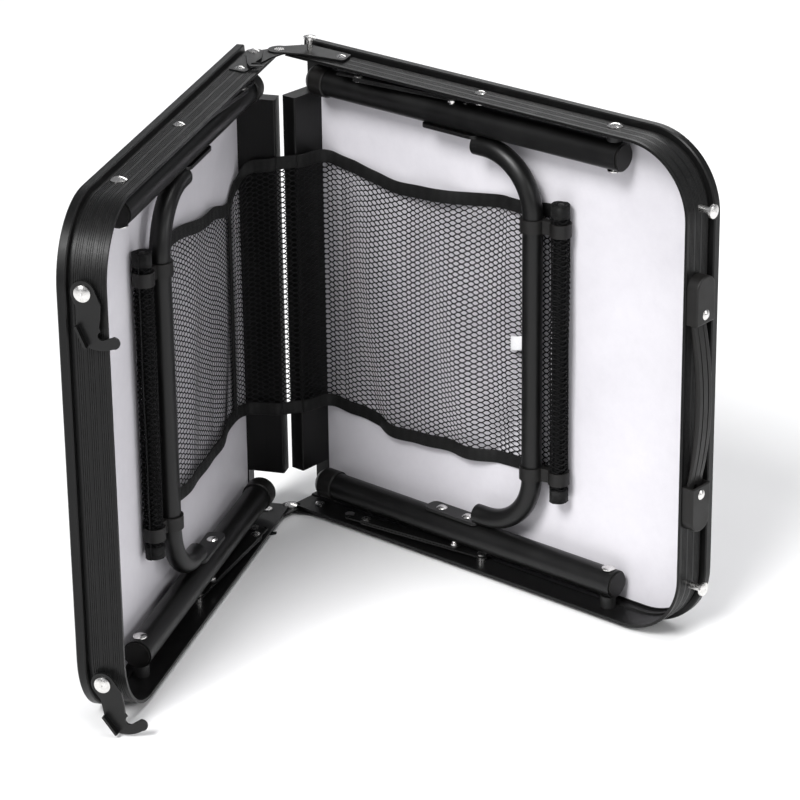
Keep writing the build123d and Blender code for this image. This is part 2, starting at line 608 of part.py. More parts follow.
handle_rivets = []
for level_name in ("bottom", "top"):
    sign = 1 if level_name == "top" else -1
    with BuildPart() as handle_cap:
        with BuildSketch(end_plane(CAP_U)):
            with Locations((sign * (CAP_EDGE - CAP_LEN / 2), -HANDLE_DEPTH)):
                RectangleRounded(CAP_LEN, CAP_W, CAP_W / 2 - 1)
            with Locations((sign * (CAP_EDGE - CAP_LEN * 0.75), -HANDLE_DEPTH)):
                Rectangle(CAP_LEN / 2, CAP_W)
        extrude(amount=CAP_H)
        fillet(handle_cap.faces().sort_by(Axis(point(0, 0, 0), OUT))[-1].edges(), 1.5)
        # the strap's end lies in this pocket, open toward the middle of the handle
        with BuildSketch(end_plane(CAP_U + POCKET_BASE)):
            with Locations((sign * (CAP_EDGE - CAP_LEN / 2 - 5), -HANDLE_DEPTH)):
                Rectangle(CAP_LEN - 4, GRIP_W + 1.6)
        extrude(amount=POCKET_H, mode=Mode.SUBTRACT)
        with BuildSketch(end_plane(CAP_U)):
            with Locations((sign * HANDLE_PITCH / 2, -HANDLE_DEPTH)):
                Circle(2.5)
        extrude(amount=CAP_H, mode=Mode.SUBTRACT)
    save(f"handle_cap_{level_name}", handle_cap)
    with BuildPart() as handle_rivet:
        turned(end_base(MID + sign * HANDLE_PITCH / 2, HANDLE_DEPTH), [
            (CAP_U - WALL - 1.0, CAP_U - WALL, 4.5), (CAP_U - WALL, CAP_U + CAP_H, 2.5)],
            [(CAP_U + CAP_H, 4.5, 1.8)])
    handle_rivets.append(handle_rivet.part)
save_group("handle_rivets", handle_rivets)

# the grip bows away from the rail; its flat ends slide in the caps' pockets
with BuildPart() as grip:
    low, end_x, bow_x = CAP_U + GRIP_GAP, CAP_EDGE - 10, CAP_EDGE - CAP_LEN - 1
    with BuildSketch(Plane(point(0, HANDLE_DEPTH, MID), x_dir=(0, 0, 1), z_dir=IN * -1)):
        with BuildLine():
            Polyline((-bow_x, low), (-end_x, low), (-end_x, low + GRIP_END_T), (-bow_x, low + GRIP_END_T))
            ThreePointArc((-bow_x, low + GRIP_END_T), (0, low + GRIP_RISE + GRIP_T),
                          (bow_x, low + GRIP_END_T))
            Polyline((bow_x, low + GRIP_END_T), (end_x, low + GRIP_END_T), (end_x, low), (bow_x, low))
            ThreePointArc((bow_x, low), (0, low + GRIP_RISE), (-bow_x, low))
        make_face()
    extrude(amount=GRIP_W / 2, both=True)
    fillet(grip.edges().filter_by(GeomType.CIRCLE), 1.6)
    with BuildSketch(end_plane(CAP_U)):
        with Locations((HANDLE_PITCH / 2, -HANDLE_DEPTH), (-HANDLE_PITCH / 2, -HANDLE_DEPTH)):
            SlotOverall(16, 6.4)
    extrude(amount=CAP_H, mode=Mode.SUBTRACT)
    # two long grooves along the back of the grip
    for groove in (-3.6, 3.6):
        groove_at = Plane(point(0, HANDLE_DEPTH - groove, MID), x_dir=(0, 0, 1), z_dir=IN * -1)
        with BuildSketch(groove_at):
            with BuildLine():
                ThreePointArc((-bow_x, low + GRIP_END_T), (0, low + GRIP_RISE + GRIP_T),
                              (bow_x, low + GRIP_END_T))
                ThreePointArc((bow_x, low + GRIP_END_T - 0.1), (0, low + GRIP_RISE + GRIP_T - 0.8),
                              (-bow_x, low + GRIP_END_T - 0.1))
                Line((-bow_x, low + GRIP_END_T), (-bow_x, low + GRIP_END_T - 0.1))
                Line((bow_x, low + GRIP_END_T), (bow_x, low + GRIP_END_T - 0.1))
            make_face()
        extrude(amount=0.6, both=True, mode=Mode.SUBTRACT)
save("handle_grip", grip)


# ---- net slung between the legs, with its rolled ends on the bars ----

with BuildPart() as net:
    with BuildSketch(face_plane(NET_DEPTH + NET_T / 2)):
        with Locations(((NET_U[0] + NET_U[1]) / 2, 0)):
            Rectangle(NET_U[1] - NET_U[0], WIDTH - 2 * NET_Z)
    extrude(amount=NET_T)
with BuildPart() as net_roll:
    with BuildSketch(level_plane(ROLL_Z)):
        with Locations((ROLL_U, ROLL_DEPTH)):
            Circle(ROLL_R)
    extrude(amount=WIDTH - 2 * ROLL_Z)
for side_name in ("right", "left"):
    save(f"{side_name}_net", net, left=side_name == "left")
    save(f"{side_name}_net_roll", net_roll, left=side_name == "left")

# straps that hold the roll to the bar
with BuildPart() as roll_clip:
    with BuildSketch(level_plane(CLIP_Z)):
        with Locations((BAR_U, LEG_DEPTH)):
            Circle(BAR_R + 2.0)
        with Locations((ROLL_U, ROLL_DEPTH)):
            Circle(ROLL_R + 1.5)
        with Locations(((BAR_U + ROLL_U) / 2, (LEG_DEPTH + ROLL_DEPTH) / 2)):
            Rectangle(ROLL_U - BAR_U, 6, rotation=degrees(atan2(ROLL_DEPTH - LEG_DEPTH, ROLL_U - BAR_U)))
        with Locations((BAR_U, LEG_DEPTH)):
            Circle(BAR_R + CLIP_PLAY, mode=Mode.SUBTRACT)
        with Locations((ROLL_U, ROLL_DEPTH)):
            Circle(ROLL_R + CLIP_PLAY, mode=Mode.SUBTRACT)
    extrude(amount=CLIP_H)
save_pairs("roll_clips", roll_clip)
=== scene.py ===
"""Looks for a folding suitcase table: materials, the net slung between its legs, and the studio."""
import json
import math

import bmesh
import bpy
from mathutils import Matrix, Vector
from mathutils.bvhtree import BVHTree


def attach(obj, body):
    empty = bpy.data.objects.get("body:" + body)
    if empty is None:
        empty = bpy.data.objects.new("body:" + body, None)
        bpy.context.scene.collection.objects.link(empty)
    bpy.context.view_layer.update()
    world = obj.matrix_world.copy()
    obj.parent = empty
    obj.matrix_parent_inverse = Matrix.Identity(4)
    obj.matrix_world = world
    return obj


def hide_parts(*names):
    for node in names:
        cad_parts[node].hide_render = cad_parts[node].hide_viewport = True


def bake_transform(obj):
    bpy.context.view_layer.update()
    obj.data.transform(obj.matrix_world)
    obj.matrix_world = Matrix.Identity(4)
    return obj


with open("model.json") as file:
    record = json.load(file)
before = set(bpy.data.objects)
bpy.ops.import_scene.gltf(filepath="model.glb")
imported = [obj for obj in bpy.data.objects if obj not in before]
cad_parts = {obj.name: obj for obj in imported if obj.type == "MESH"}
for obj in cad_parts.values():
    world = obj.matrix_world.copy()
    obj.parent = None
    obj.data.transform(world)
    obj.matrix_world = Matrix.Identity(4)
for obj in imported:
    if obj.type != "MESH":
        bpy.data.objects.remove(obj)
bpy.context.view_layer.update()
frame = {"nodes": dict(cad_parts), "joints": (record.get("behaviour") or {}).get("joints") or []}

SIDES = {"right": 1, "left": -1}
joints = {joint["name"]: joint for joint in frame["joints"]}
FOLD = Vector(joints["table_fold"]["pos_m"])
FOLD.z = 0.0
OUT_RIGHT = Vector(joints["handle_lift"]["axis"])
WIDTH = 0.450            # of each half, up the fold
BOARD_V = -0.0364        # inner face of the table top
PLATED_DULL, PLATED_BRIGHT = (0.62, 0.61, 0.59), (0.80, 0.79, 0.78)
WORN_BLACK = (0.07, 0.07, 0.07)
EDGE_RADIUS = 0.0009     # how far wear reaches from a sharp edge
UP = Vector((0, 0, 1))


def along(side):
    """Unit vector from the fold outward along a half."""
    return Vector((SIDES[side] * OUT_RIGHT.x, OUT_RIGHT.y, 0))


def inward(side):
    """Unit vector out of a half's tray, into the opening between the halves."""
    return Vector((SIDES[side] * OUT_RIGHT.y, -OUT_RIGHT.x, 0))


def at(side, u, v, z):
    """A point of a half: u along it from the fold, v out of its tray from the skirt edge, z up."""
    return FOLD + along(side) * u + inward(side) * v + Vector((0, 0, z))


# ---- materials ----

class Shader:
    """A Principled material with short calls for its nodes."""

    def __init__(self, name, **values):
        self.material = bpy.data.materials.new(name)
        self.material.use_nodes = True
        self.nodes = self.material.node_tree.nodes
        self.links = self.material.node_tree.links
        self.bsdf = self.nodes["Principled BSDF"]
        for socket, value in values.items():
            self.bsdf.inputs[socket.replace("_", " ")].default_value = value
        self.place = self.nodes.new("ShaderNodeTexCoord").outputs["Object"]

    def mapped(self, scale, turn=0.0):
        """Object coordinates, turned about Z and scaled."""
        node = self.nodes.new("ShaderNodeMapping")
        node.inputs["Scale"].default_value = scale
        node.inputs["Rotation"].default_value = (0, 0, turn)
        self.links.new(self.place, node.inputs["Vector"])
        return node.outputs["Vector"]

    def noise(self, scale, detail=4.0, roughness=0.55, vector=None, distortion=0.0):
        """Fractal noise, in object coordinates unless a vector is given."""
        node = self.nodes.new("ShaderNodeTexNoise")
        node.inputs["Scale"].default_value = scale
        node.inputs["Detail"].default_value = detail
        node.inputs["Roughness"].default_value = roughness
        node.inputs["Distortion"].default_value = distortion
        self.links.new(vector or self.place, node.inputs["Vector"])
        return node.outputs["Fac"]

    def ramp(self, value, stops):
        """A colour from two stops of (position, colour)."""
        node = self.nodes.new("ShaderNodeValToRGB")
        for element, (position, colour) in zip(node.color_ramp.elements, stops):
            element.position = position
            element.color = (*colour, 1)
        self.links.new(value, node.inputs["Fac"])
        return node.outputs["Color"]

    def span(self, value, low, high, from_low=0.3, from_high=0.7):
        """A value mapped onto the span from low to high."""
        node = self.nodes.new("ShaderNodeMapRange")
        node.inputs["From Min"].default_value = from_low
        node.inputs["From Max"].default_value = from_high
        node.inputs["To Min"].default_value = low
        node.inputs["To Max"].default_value = high
        self.links.new(value, node.inputs["Value"])
        return node.outputs["Result"]

    def math(self, operation, first, second):
        """One arithmetic node, of sockets or plain numbers."""
        node = self.nodes.new("ShaderNodeMath")
        node.operation = operation
        for socket, value in zip(node.inputs, (first, second)):
            if isinstance(value, (int, float)):
                socket.default_value = value
            else:
                self.links.new(value, socket)
        return node.outputs["Value"]

    def set(self, socket, value):
        """Feeds a value to one of the surface's own sockets."""
        self.links.new(value, self.bsdf.inputs[socket])

    def bump(self, height, distance, strength):
        """Relief of the given depth, in metres."""
        node = self.nodes.new("ShaderNodeBump")
        node.inputs["Strength"].default_value = strength
        node.inputs["Distance"].default_value = distance
        self.links.new(height, node.inputs["Height"])
        self.links.new(node.outputs["Normal"], self.bsdf.inputs["Normal"])

    def edge_wear(self, colour, amount):
        """Mixes worn metal in along sharp edges, broken up by noise."""
        bevel = self.nodes.new("ShaderNodeBevel")
        bevel.samples = 4
        bevel.inputs["Radius"].default_value = EDGE_RADIUS
        geometry = self.nodes.new("ShaderNodeNewGeometry")
        dot = self.nodes.new("ShaderNodeVectorMath")
        dot.operation = "DOT_PRODUCT"
        self.links.new(bevel.outputs["Normal"], dot.inputs[0])
        self.links.new(geometry.outputs["Normal"], dot.inputs[1])
        edge = self.span(dot.outputs["Value"], amount, 0.0, 0.75, 0.99)
        broken = self.math("MULTIPLY", edge, self.span(self.noise(420.0), 0.2, 1.0))
        mix = self.nodes.new("ShaderNodeMix")
        mix.data_type = "RGBA"
        self.links.new(broken, mix.inputs["Factor"])
        self.links.new(colour, mix.inputs["A"])
        mix.inputs["B"].default_value = (*WORN_BLACK, 1)
        return mix.outputs["Result"]


def extruded_black(name, side):
    """Black anodised extrusion: fine die lines along the metal, faint dust, paler edges."""
    shader = Shader(name, Specular_IOR_Level=0.22)
    turn = math.atan2(along(side).y, along(side).x)
    lines = shader.noise(1.0, 6.0, 0.7, shader.mapped((22, 900, 900), -turn))
    upright = shader.noise(1.0, 6.0, 0.7, shader.mapped((900, 900, 22), -turn))
    streaks = shader.math("ADD", shader.math("MULTIPLY", lines, 0.5), shader.math("MULTIPLY", upright, 0.5))
    dust = shader.noise(38.0, 6.0, 0.7)
    base = shader.ramp(streaks, [(0.38, (0.002, 0.002, 0.002)), (0.62, (0.0055, 0.0055, 0.0055))])
    shader.set("Base Color", shader.edge_wear(base, 0.4))
    rough = shader.math("ADD", shader.span(streaks, 0.30, 0.44), shader.span(dust, -0.05, 0.08))
    shader.set("Roughness", rough)
    shader.bump(streaks, 0.00025, 0.35)
    return shader.material


def coated_black(name, rough=0.36, grain=900.0):
    """Powder-coated steel: a very fine orange peel over satin black."""
    shader = Shader(name, Specular_IOR_Level=0.32)
    peel = shader.noise(grain, 3.0, 0.5)
    cloud = shader.noise(24.0, 5.0, 0.6)
    base = shader.ramp(cloud, [(0.3, (0.0025, 0.0025, 0.0025)), (0.7, (0.005, 0.005, 0.005))])
    shader.set("Base Color", shader.edge_wear(base, 0.35))
    shader.set("Roughness", shader.span(cloud, rough - 0.05, rough + 0.08))
    shader.bump(peel, 0.00012, 0.5)
    return shader.material


def moulded_black(name, rough=0.48):
    """Moulded plastic or rubber: matt with a fine spark-eroded grain."""
    shader = Shader(name, Specular_IOR_Level=0.30)
    grain = shader.noise(1600.0, 2.0, 0.6)
    cloud = shader.noise(60.0, 4.0, 0.6)
    stops = [(0.3, (0.0045, 0.0042, 0.004)), (0.7, (0.009, 0.0085, 0.008))]
    shader.set("Base Color", shader.ramp(cloud, stops))
    shader.set("Roughness", shader.span(cloud, rough - 0.06, rough + 0.10))
    shader.bump(grain, 0.00010, 0.7)
    return shader.material


def nickel(name):
    """Bright plated rivets with faint swirls and slight dulling."""
    shader = Shader(name, Metallic=1.0)
    swirl = shader.noise(700.0, 4.0, 0.6, distortion=1.5)
    cloud = shader.noise(260.0, 3.0, 0.6)
    shader.set("Base Color", shader.ramp(cloud, [(0.3, PLATED_DULL), (0.7, PLATED_BRIGHT)]))
    shader.set("Roughness", shader.span(swirl, 0.16, 0.34))
    shader.bump(swirl, 0.00008, 0.3)
    return shader.material


def pivot_finish(name):
    """A leg's pivot: plated heads outside the rail and inside the tube, and a black spacer between."""
    head_depth, spacer_end = 0.0047, 0.0400    # both from the half's side
    shader = Shader(name, Specular_IOR_Level=0.45)
    swirl = shader.noise(700.0, 4.0, 0.6, distortion=1.5)
    split = shader.nodes.new("ShaderNodeSeparateXYZ")
    shader.links.new(shader.place, split.inputs["Vector"])
    from_middle = shader.math("ABSOLUTE", shader.math("SUBTRACT", split.outputs["Z"], WIDTH / 2), 0.0)
    head = shader.math("GREATER_THAN", from_middle, WIDTH / 2 - head_depth)
    inner = shader.math("LESS_THAN", from_middle, WIDTH / 2 - spacer_end)
    plated = shader.math("MAXIMUM", head, inner)
    dark = shader.ramp(swirl, [(0.3, (0.008, 0.008, 0.008)), (0.7, (0.016, 0.016, 0.016))])
    bright = shader.ramp(swirl, [(0.3, PLATED_DULL), (0.7, PLATED_BRIGHT)])
    mix = shader.nodes.new("ShaderNodeMix")
    mix.data_type = "RGBA"
    shader.links.new(plated, mix.inputs["Factor"])
    shader.links.new(dark, mix.inputs["A"])
    shader.links.new(bright, mix.inputs["B"])
    shader.set("Base Color", mix.outputs["Result"])
    shader.set("Metallic", plated)
    spacer_rough = shader.span(swirl, 0.42, 0.55)
    shader.set("Roughness", shader.math("SUBTRACT", spacer_rough, shader.math("MULTIPLY", plated, 0.26)))
    shader.bump(swirl, 0.00008, 0.3)
    return shader.material


def painted_board(name):
    """White lacquered board, faintly cool, with a roller-coated orange peel and soft smudges."""
    shader = Shader(name, Specular_IOR_Level=0.4)
    peel = shader.noise(480.0, 3.0, 0.5)
    cloud = shader.noise(7.0, 6.0, 0.6)
    speck = shader.noise(95.0, 6.0, 0.75)
    tone = shader.math("ADD", shader.math("MULTIPLY", cloud, 0.75), shader.math("MULTIPLY", speck, 0.25))
    shader.set("Base Color", shader.ramp(tone, [(0.35, (0.60, 0.585, 0.62)), (0.62, (0.68, 0.665, 0.70))]))
    shader.set("Roughness", shader.span(cloud, 0.34, 0.50))
    shader.bump(peel, 0.00010, 0.35)
    return shader.material


def woven_black(name, pitch, colour, sheen):
    """Black nylon: fine noise of about the given pitch in metres, on bands some six pitches wide."""
    shader = Shader(name, Roughness=0.62, Sheen_Weight=sheen, Specular_IOR_Level=0.22)
    wave = shader.nodes.new("ShaderNodeTexWave")
    wave.inputs["Scale"].default_value = 0.05 / pitch
    wave.inputs["Distortion"].default_value = 1.2
    shader.links.new(shader.place, wave.inputs["Vector"])
    ribs = shader.noise(1.0, 2.0, 0.5, shader.mapped((0.6 / pitch, 0.6 / pitch, 1.2 / pitch)))
    both = shader.math("ADD", shader.math("MULTIPLY", wave.outputs["Fac"], 0.6), ribs)
    pale = tuple(2.2 * part for part in colour)
    shader.set("Base Color", shader.ramp(both, [(0.4, colour), (1.0, pale)]))
    shader.set("Roughness", shader.span(ribs, 0.5, 0.75))
    shader.bump(both, 0.0003, 0.6)
    return shader.material


def label_white(name):
    """Blank woven satin label."""
    shader = Shader(name, Roughness=0.5, Sheen_Weight=0.3)
    threads = shader.noise(1.0, 2.0, 0.5, shader.mapped((2500, 2500, 4200)))
    shader.set("Base Color", shader.ramp(threads, [(0.3, (0.66, 0.66, 0.67)), (0.7, (0.88, 0.88, 0.89))]))
    shader.bump(threads, 0.0001, 0.6)
    return shader.material


MATERIALS = {
    "coated": coated_black("powder_coat"),
    "stamped": coated_black("blackened_steel", 0.38, 500.0),
    "moulded": moulded_black("moulded_plastic"),
    "rubber": moulded_black("rubber_caps", 0.42),
    "rivet": nickel("plated_rivets"),
    "pivot": pivot_finish("leg_pivot_rivets"),
    "board": painted_board("lacquered_board"),
    "net": woven_black("net_yarn", 0.0005, (0.0018, 0.0018, 0.002), 0.0),
    "tape": woven_black("binding_tape", 0.0009, (0.0025, 0.0025, 0.0025), 0.02),
    "label": label_white("blank_label"),
}
for side_name in SIDES:
    MATERIALS[f"extruded_{side_name}"] = extruded_black(f"anodised_frame_{side_name}", side_name)


def finish_for(node):
    """The finish of a CAD node, from its name."""
    side = "left" if node.startswith("left") else "right"
    if "rail_frame" in node or "cross_rail" in node:
        return f"extruded_{side}"
    if "table_top" in node:
        return "board"
    if "rivets" in node or "studs" in node or node in ("fold_pins", "side_latch_pins"):
        return "rivet"
    if "leg_pivots" in node:
        return "pivot"
    if "foot" in node or "plugs" in node:
        return "rubber"
    if "handle" in node or "roll_clips" in node:
        return "moulded"
    if "leg_tube" in node or "leg_bar" in node:
        return "coated"
    return "stamped"


for node_name, node in frame["nodes"].items():
    node.data.materials.clear()
    node.data.materials.append(MATERIALS[finish_for(node_name)])


# ---- small helpers for new pieces ----

def make(name, mesh, material):
    """A new piece from a finished bmesh."""
    data = bpy.data.meshes.new(name)
    mesh.to_mesh(data)
    mesh.free()
    data.materials.append(MATERIALS[material])
    for polygon in data.polygons:
        polygon.use_smooth = True
    piece = bpy.data.objects.new(name, data)
    bpy.context.scene.collection.objects.link(piece)
    return piece


def apply_modifiers(piece):
    """Keep the evaluated mesh and drop its modifiers."""
    graph = bpy.context.evaluated_depsgraph_get()
    data = bpy.data.meshes.new_from_object(piece.evaluated_get(graph))
    piece.modifiers.clear()
    old = piece.data
    piece.data = data
    bpy.data.meshes.remove(old)


def skin(mesh, rings):
    """Faces between neighbouring rings of vertices, and one to close each end."""
    count = len(rings[0])
    for first, second in zip(rings, rings[1:]):
        for k in range(count):
            following = (k + 1) % count
            mesh.faces.new((first[k], first[following], second[following], second[k]))
    mesh.faces.new(list(reversed(rings[0])))
    mesh.faces.new(rings[-1])
    bmesh.ops.recalc_face_normals(mesh, faces=mesh.faces)
    return mesh


def strip(along_points, across, thickness):
    """A flat tape along (centre, across direction, normal) stations, a thin band with soft edges."""
    outline = ((-1, -0.6), (-0.9, -1), (0.9, -1), (1, -0.6), (1, 0.6), (0.9, 1), (-0.9, 1), (-1, 0.6))
    mesh = bmesh.new()
    rings = []
    for centre, direction, normal in along_points:
        half = direction * (across / 2)
        lift = normal * (thickness / 2)
        rings.append([mesh.verts.new(centre + half * a + lift * b) for a, b in outline])
    return skin(mesh, rings)


# ---- the net: hexagonal cells of yarn on a draped surface ----

CELL_STEP, CELL_RISE = 0.0050, 0.00485     # from one column of cells to the next, and across the flats
CELL_TIP, CELL_FLAT = 0.0038, 0.0012       # half widths of a cell at its tips and along its flats
CELL_MERGE = 0.0004                        # corners closer than this are one
KEYS_PER_METRE = 20000                     # corners that round to the same key are one vertex
YARN, YARN_FLATNESS = 0.0015, 0.4          # width, and thickness as a share of it
HEM_W, HEM_T = 0.012, 0.0017
HEM_LEVELS = (("upper", 0.98), ("lower", 0.02))
SEAM_W, SEAM_T, SEAM_S = 0.006, 0.0024, 0.205
LABEL_W, LABEL_T, LABEL_LENGTH = 0.013, 0.0009, 0.040    # its length as a share of the net's
LABEL_S, LABEL_H = 0.812, 0.475
NET_HEIGHT = 0.246
BOARD_GAP = 0.0012                         # least distance from the net's middle to the board
SLACK = {"right": 1.0, "left": 0.35}
RIPPLES = ((0.0026, 21, 2.6, 0.0), (0.0020, 13, -5.2, 1.0))    # height, turns along and up the net, start
CREASE, BELLY = 0.0016, 0.005
# where the net lies, from the cross rail's corner to the roll, as (u, v)
NET_LINE = [(0.0165, -0.0009), (0.0188, -0.0040), (0.0200, -0.0120), (0.0215, -0.0230),
            (0.0270, -0.0310), (0.040, -0.0335), (0.075, -0.0325), (0.120, -0.0305), (0.180, -0.0305),
            (0.235, -0.0325), (0.262, -0.0335), (0.280, -0.0345), (0.294, -0.0346)]
# heights of the net's edges along each half, as (u, z)
UPPER_EDGE = {
    "right": [(0.0165, 0.352), (0.052, 0.347), (0.110, 0.3395), (0.168, 0.3445), (0.248, 0.3535),
              (0.298, 0.357)],
    "left": [(0.0165, 0.352), (0.034, 0.334), (0.056, 0.320), (0.110, 0.332), (0.203, 0.346),
             (0.298, 0.353)],
}
LOWER_EDGE = {
    "right": [(0.0165, 0.105), (0.050, 0.101), (0.109, 0.094), (0.170, 0.098), (0.251, 0.101),
              (0.298, 0.103)],
    "left": [(0.0165, 0.105), (0.056, 0.111), (0.110, 0.105), (0.196, 0.1025), (0.298, 0.103)],
}


def curve_point(points, t):
    """Catmull-Rom through the points, t from 0 to 1 along their chords."""
    lengths = [0.0]
    for first, second in zip(points, points[1:]):
        lengths.append(lengths[-1] + math.dist(first, second))
    where = t * lengths[-1]
    i = 0
    while i < len(points) - 2 and lengths[i + 1] < where:
        i += 1
    f = (where - lengths[i]) / (lengths[i + 1] - lengths[i])
    p0, p1 = points[max(i - 1, 0)], points[i]
    p2, p3 = points[i + 1], points[min(i + 2, len(points) - 1)]
    return tuple(
        0.5 * (2 * b + (c - a) * f + (2 * a - 5 * b + 4 * c - d) * f * f + (3 * b - a - 3 * c + d) * f ** 3)
        for a, b, c, d in zip(p0, p1, p2, p3)
    )


NET_LENGTH = sum(math.dist(a, b) for a, b in zip(NET_LINE, NET_LINE[1:]))


def edge_height(points, u):
    """Height of an edge at u, eased from point to point."""
    for (u0, z0), (u1, z1) in zip(points, points[1:]):
        if u <= u1:
            f = min(1.0, max(0.0, (u - u0) / (u1 - u0)))
            return z0 + (z1 - z0) * (3 * f * f - 2 * f * f * f)
    return points[-1][1]


def net_point(side, s, h):
    """s from the cross rail (0) to the roll (1), h from the lower edge (0) to the upper (1)."""
    u, v = curve_point(NET_LINE, min(max(s, 0.0), 1.0))
    low = edge_height(LOWER_EDGE[side], u)
    high = edge_height(UPPER_EDGE[side], u)
    z = low + (high - low) * h
    free = min(1.0, max(0.0, (s - 0.16) / 0.12)) * min(1.0, max(0.0, (0.93 - s) / 0.12))
    ripple = sum(size * math.sin(across * s + up * h + start) for size, across, up, start in RIPPLES)
    crease = CREASE * math.sin(40 * s + 5.0 * h) * (1 - h * 0.5)
    belly = BELLY * math.sin(math.pi * h) * math.sin(math.pi * s)
    v += free * SLACK[side] * (ripple + crease + belly)
    return at(side, u, max(v, BOARD_V + BOARD_GAP), z)


def bridge_point(t, h):
    """The short stretch of net straight across both cross rails, t from left (0) to right (1)."""
    return net_point("left", 0.0, h).lerp(net_point("right", 0.0, h), t)


def hexagon_net(length, height, place):
    """Six-sided cells with tips left and right; place(x, y) puts a point of the flat net in space."""
    columns, rows = int(length / CELL_STEP), int(height / CELL_RISE)
    outline = [(CELL_TIP, 0), (CELL_FLAT, CELL_RISE / 2), (-CELL_FLAT, CELL_RISE / 2),
               (-CELL_TIP, 0), (-CELL_FLAT, -CELL_RISE / 2), (CELL_FLAT, -CELL_RISE / 2)]
    mesh = bmesh.new()
    seen = {}

    def vertex(x, y):
        key = (round(x * KEYS_PER_METRE), round(y * KEYS_PER_METRE))
        if key not in seen:
            seen[key] = mesh.verts.new(place(min(max(x, 0.0), length), min(max(y, 0.0), height)))
        return seen[key]

    for column in range(columns + 1):
        for row in range(rows + 1):
            x, y = column * CELL_STEP, (row + 0.5 * (column % 2)) * CELL_RISE
            if y - CELL_RISE / 2 > height - 0.001 or x - CELL_FLAT > length - 0.001:
                continue
            cell = []
            for dx, dy in outline:
                corner = vertex(x + dx, y + dy)
                if corner not in cell:
                    cell.append(corner)
            if len(cell) > 2 and mesh.faces.get(cell) is None:
                mesh.faces.new(cell)
    bmesh.ops.remove_doubles(mesh, verts=mesh.verts, dist=CELL_MERGE)
    return mesh


def yarn(name, mesh, flatness=1.0):
    """A net whose strands are the edges of the mesh, flattened onto its surface."""
    surface = BVHTree.FromBMesh(mesh)
    net = make(name, mesh, "net")
    wire = net.modifiers.new("yarn", "WIREFRAME")
    wire.thickness = YARN
    wire.use_boundary = True
    wire.use_even_offset = False
    apply_modifiers(net)
    if flatness < 1:
        for vertex in net.data.vertices:
            nearest, normal = surface.find_nearest(vertex.co)[:2]
            vertex.co -= normal * (vertex.co - nearest).dot(normal) * (1 - flatness)
    return net


def surface_normal(side, s, h):
    """Unit normal of the net, out of the tray."""
    d = 0.002
    a = net_point(side, min(s + d, 1), h) - net_point(side, max(s - d, 0), h)
    b = net_point(side, s, min(h + d, 1)) - net_point(side, s, max(h - d, 0))
    normal = a.cross(b).normalized()
    return normal if normal.dot(inward(side)) > 0 else -normal


def hem(side, name, h):
    """Binding tape along the net at height h."""
    points = []
    steps = 110
    for step in range(steps + 1):
        s = step / steps
        points.append((net_point(side, s, h), UP, surface_normal(side, s, h)))
    return make(name, strip(points, HEM_W, HEM_T), "tape")


def net_for(side):
    """The net of one half, with its hems and its seam or label."""
    def place(x, y):
        return net_point(side, x / NET_LENGTH, y / NET_HEIGHT)

    net = yarn(f"{side}_net_mesh", hexagon_net(NET_LENGTH, NET_HEIGHT, place), YARN_FLATNESS)
    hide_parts(f"{side}_net")
    trims = [hem(side, f"{side}_net_hem_{level}", h) for level, h in HEM_LEVELS]
    trims.append(upright_seam(side) if side == "left" else label(side))
    return net, trims


def net_bridge():
    """The net where it passes over the two cross rails, with its hems."""
    length = (net_point("right", 0.0, 0.5) - net_point("left", 0.0, 0.5)).length

    def place(x, y):
        return bridge_point(x / length, y / NET_HEIGHT)

    net = yarn("net_bridge", hexagon_net(length, NET_HEIGHT, place), YARN_FLATNESS)
    trims = []
    steps = 12
    for level, h in HEM_LEVELS:
        points = [(bridge_point(step / steps, h), UP, Vector((0, -1, 0))) for step in range(steps + 1)]
        trims.append(make(f"net_bridge_hem_{level}", strip(points, HEM_W, HEM_T), "tape"))
    return net, trims, length


def upright_seam(side):
    """A narrow tape stitched up the net."""
    points = []
    steps = 40
    for step in range(steps + 1):
        h = 0.02 + 0.96 * step / steps
        tangent = (net_point(side, SEAM_S + 0.01, h) - net_point(side, SEAM_S - 0.01, h)).normalized()
        points.append((net_point(side, SEAM_S, h), tangent, surface_normal(side, SEAM_S, h)))
    return make(f"{side}_net_seam", strip(points, SEAM_W, SEAM_T), "tape")


def label(side):
    """A small blank label, sewn to the net beside the bar."""
    normal = surface_normal(side, LABEL_S, LABEL_H)
    points = []
    steps = 8
    for step in range(steps + 1):
        f = step / steps
        lift = normal * (0.0018 + 0.0016 * math.sin(math.pi * f))
        tilt = UP * (0.003 * f)
        points.append((net_point(side, LABEL_S + LABEL_LENGTH * f, LABEL_H) + lift + tilt, UP, normal))
    return make(f"{side}_net_label", strip(points, LABEL_W, LABEL_T), "label")


# ---- rolled ends of the net ----

ROLL_U, ROLL_V, ROLL_R = 0.296, -0.0255, 0.0080    # middle of the roll, and its outer turn
ROLL_LOW, ROLL_HIGH, ROLL_TURNS, ROLL_CORE = 0.088, 0.362, 3.6, 0.0036
ROLL_START = {"right": 0.4, "left": 2.4}           # angle of the innermost turn
ROLL_EASE = 0.0004                                 # how far the free end stands off the outer turn
ROLL_HEM_W, ROLL_HEM_T = 0.011, 0.0010
CORE_ENDS = [(0.0, 0.0015), (0.0006, 0.0027), (0.0020, 0.0034)]    # rise from the end, radius
CORE_SIDES = 24


def roll_radius(f):
    """Distance from the roll's middle, f from 0 at the core to 1 at the free end."""
    return ROLL_CORE + (ROLL_R + ROLL_EASE - ROLL_CORE) * f


def roll_place(side, f, z):
    """A point of the wound net, f from 0 at the core to 1 at the free end."""
    angle = 2 * math.pi * ROLL_TURNS * f + ROLL_START[side]
    radius = roll_radius(f) + 0.0003 * math.sin(5 * angle + 60 * z) + 0.0004 * math.sin(31 * z + 3 * angle)
    return at(side, ROLL_U + radius * math.cos(angle), ROLL_V + radius * math.sin(angle), z)


